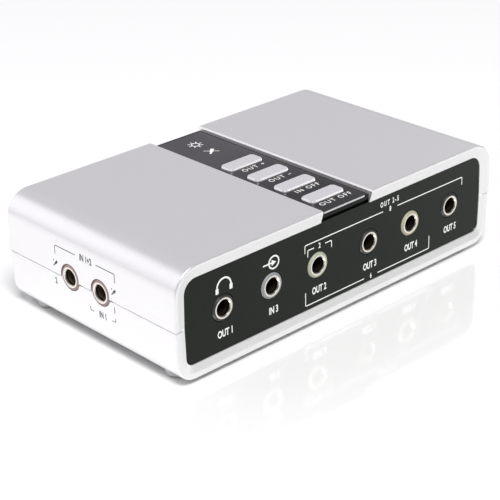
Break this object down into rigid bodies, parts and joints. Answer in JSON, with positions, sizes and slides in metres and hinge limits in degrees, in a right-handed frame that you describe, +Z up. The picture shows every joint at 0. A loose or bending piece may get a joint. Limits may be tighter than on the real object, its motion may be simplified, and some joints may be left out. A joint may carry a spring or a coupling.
{
  "type": "usb sound card",
  "caption": "Flat silver external sound box with jacks in a black front panel and in one side, a sunk strip of push keys across its top, and data and optical sockets behind.",
  "frame": {"origin": "middle of the footprint, on the plane under the feet", "axes": "+X along the width to the right seen from the front, +Y from the jack panel to the rear, +Z up"},
  "size_m": [0.1, 0.0578, 0.0271],
  "materials": {
    "silver_paint": "fine silver metallic paint on moulded plastic",
    "panel_black": "polished black",
    "bezel_black": "black",
    "overlay_grey": "glossy dark grey with white print",
    "key_grey": "light grey",
    "plunger_black": "black",
    "jack_black": "black",
    "jack_grey": "light grey",
    "jack_green": "pale green",
    "jack_yellow": "pale yellow",
    "jack_pink": "greyish pink",
    "ring_metal": "nickel plated",
    "contact_brass": "plated",
    "socket_steel": "tin plated",
    "socket_white": "white",
    "optical_black": "black",
    "clear_plastic": "clear",
    "led_white": "white",
    "board_green": "green solder mask",
    "chip_black": "black",
    "can_metal": "bare metal",
    "screw_steel": "zinc plated",
    "foot_rubber": "pale soft plastic"
  },
  "bodies": {
    "housing": {"top_cover": "silver_paint", "bottom_shell": "silver_paint", "front_panel": "panel_black", "rear_panel": "panel_black", "button_bezel": "bezel_black", "control_overlay": "overlay_grey", "jack_contacts": "contact_brass", "usb_shield": "socket_steel", "usb_insert": "socket_white", "usb_contacts": "contact_brass", "circuit_board": "board_green", "audio_chip": "chip_black", "crystal": "can_metal", "voltage_regulator": "chip_black", "coupling_capacitors": "can_metal", "case_screws": "screw_steel", "headphone_jack": "jack_black", "headphone_ring": "ring_metal", "line_in_jack": "jack_grey", "line_in_ring": "ring_metal", "front_out_jack": "jack_green", "front_out_ring": "ring_metal", "surround_out_jack": "jack_black", "surround_out_ring": "ring_metal", "centre_bass_out_jack": "jack_yellow", "centre_bass_out_ring": "ring_metal", "back_out_jack": "jack_black", "back_out_ring": "ring_metal", "mic_left_jack": "jack_pink", "mic_left_ring": "ring_metal", "mic_right_jack": "jack_pink", "mic_right_ring": "ring_metal", "mute_switch": "chip_black", "mic_mute_switch": "chip_black", "volume_down_switch": "chip_black", "volume_up_switch": "chip_black", "optical_out_socket": "optical_black", "optical_out_lens": "clear_plastic", "optical_in_socket": "optical_black", "optical_in_lens": "clear_plastic", "power_led": "led_white", "power_light_guide": "clear_plastic", "microphone_led": "led_white", "microphone_light_guide": "clear_plastic", "front_left_foot": "foot_rubber", "front_right_foot": "foot_rubber", "rear_left_foot": "foot_rubber", "rear_right_foot": "foot_rubber"},
    "mute_key": {"mute_button": "key_grey", "mute_plunger": "plunger_black"},
    "mic_mute_key": {"mic_mute_button": "key_grey", "mic_mute_plunger": "plunger_black"},
    "volume_down_key": {"volume_down_button": "key_grey", "volume_down_plunger": "plunger_black"},
    "volume_up_key": {"volume_up_button": "key_grey", "volume_up_plunger": "plunger_black"}
  },
  "joints": [
    {"name": "mute_press", "type": "slide", "parent": "housing", "child": "mute_key", "axis": [0, 0, -1], "range_m": [0, 0.0003], "stiffness_N_per_m": 800, "springref_m": -0.001},
    {"name": "mic_mute_press", "type": "slide", "parent": "housing", "child": "mic_mute_key", "axis": [0, 0, -1], "range_m": [0, 0.0003], "stiffness_N_per_m": 800, "springref_m": -0.001},
    {"name": "volume_down_press", "type": "slide", "parent": "housing", "child": "volume_down_key", "axis": [0, 0, -1], "range_m": [0, 0.0003], "stiffness_N_per_m": 800, "springref_m": -0.001},
    {"name": "volume_up_press", "type": "slide", "parent": "housing", "child": "volume_up_key", "axis": [0, 0, -1], "range_m": [0, 0.0003], "stiffness_N_per_m": 800, "springref_m": -0.001}
  ]
}
